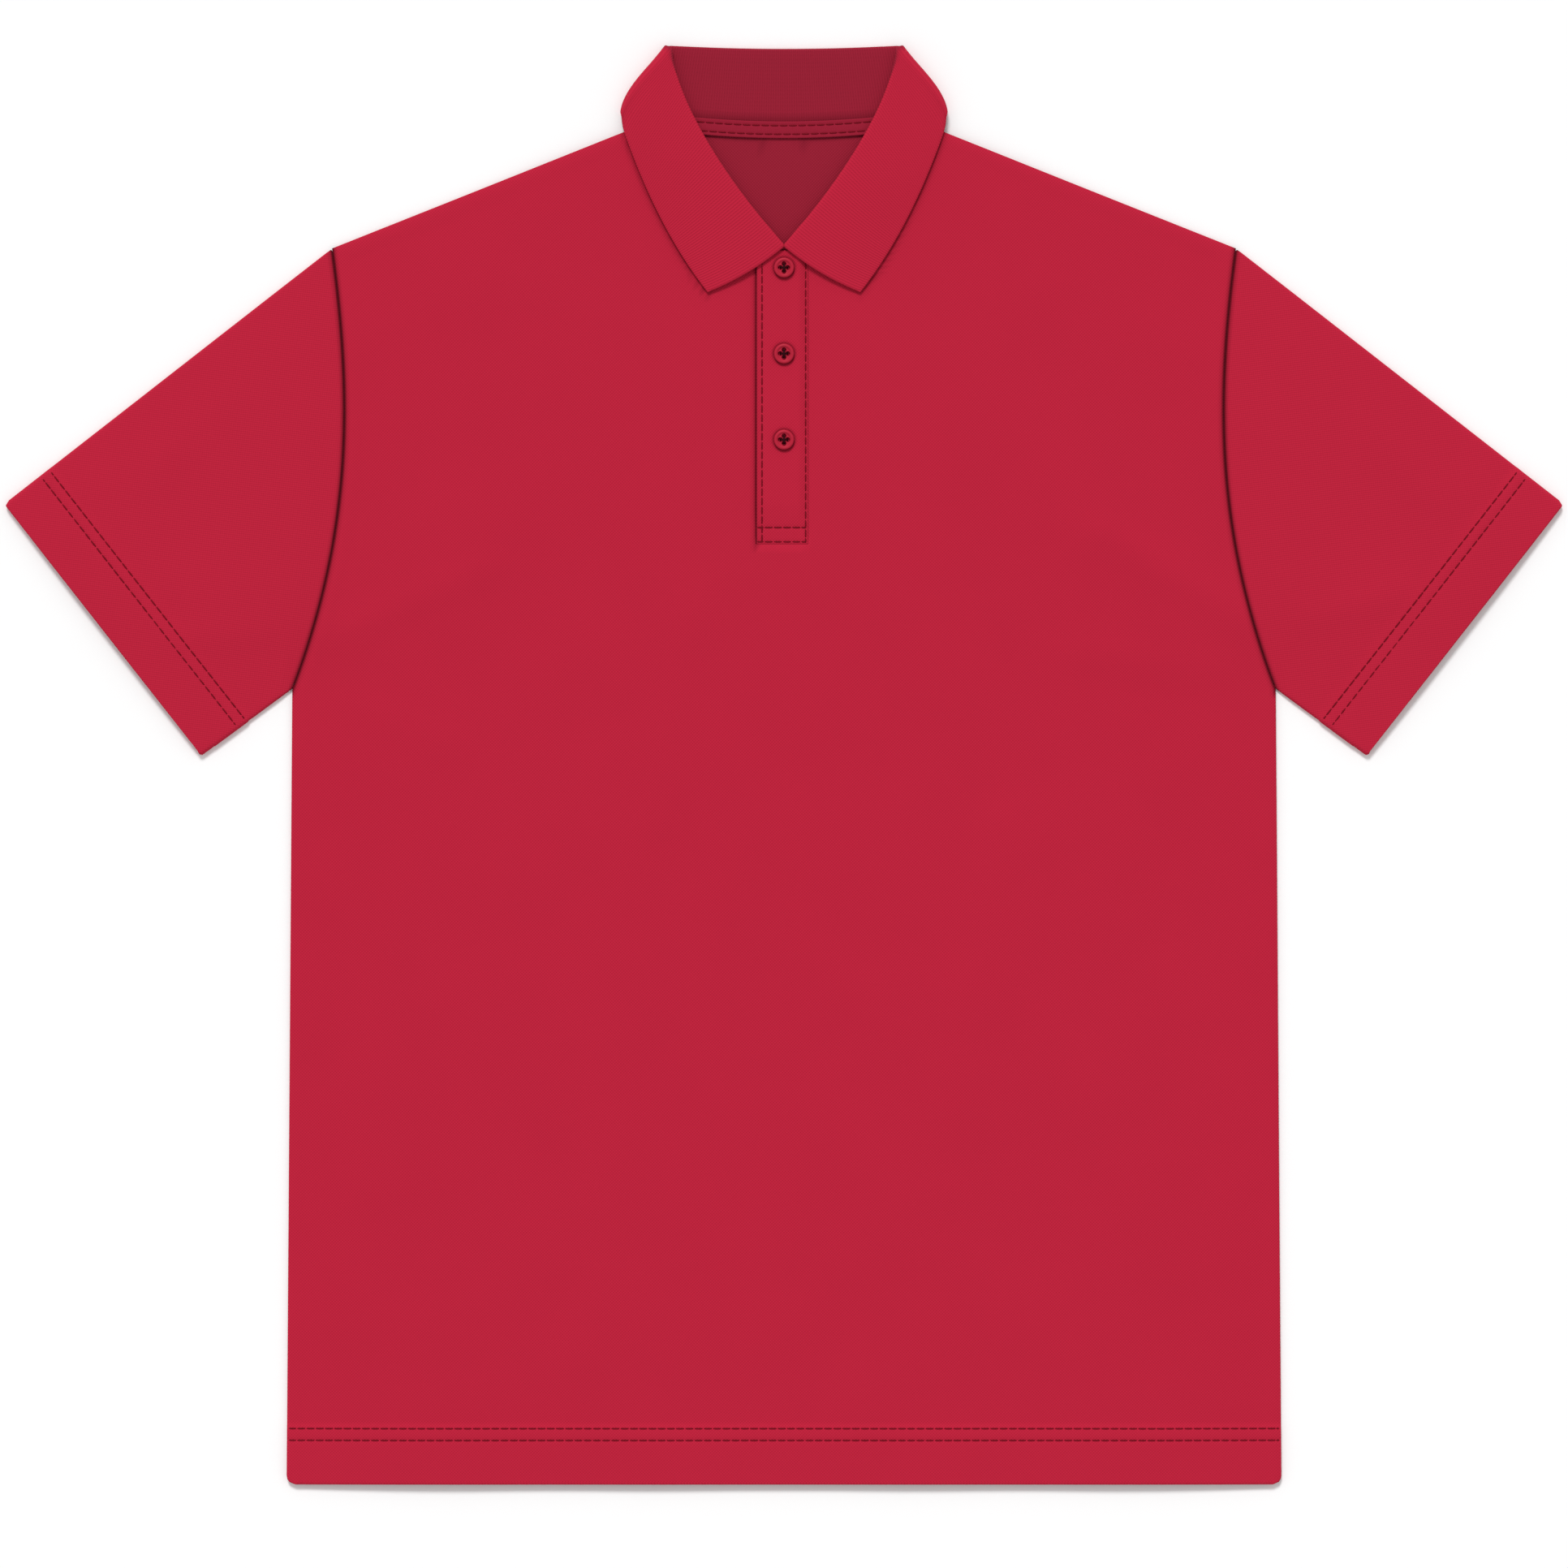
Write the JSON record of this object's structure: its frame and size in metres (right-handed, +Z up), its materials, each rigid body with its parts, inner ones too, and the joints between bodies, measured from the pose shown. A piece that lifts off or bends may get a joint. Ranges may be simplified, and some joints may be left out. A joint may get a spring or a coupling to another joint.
{
  "type": "golf shirt",
  "caption": "Short-sleeved golf shirt laid flat, with a turned-down rib collar, a buttoned half placket and hemmed cuffs and hem.",
  "frame": {"origin": "on the surface the shirt lies on, under the middle of its outline", "axes": "+X towards the wearer's left sleeve, +Y towards the collar, +Z up from the surface, out of the shirt's front"},
  "size_m": [0.8854, 0.8178, 0.009],
  "materials": {
    "knit": "crimson pique knit, matt, with tone-on-tone thread",
    "rib": "crimson flat-knit fine rib, matt",
    "tape": "dark red woven tape, matt",
    "button": "dyed-to-match crimson resin, satin"
  },
  "bodies": {
    "root": {"back_panel": "knit", "front_panel": "knit", "sleeve_left": "knit", "sleeve_right": "knit", "placket_top": "knit", "placket_under": "knit", "collar": "rib", "neck_tape": "tape", "button_1": "button", "button_2": "button", "button_3": "button"}
  },
  "joints": []
}
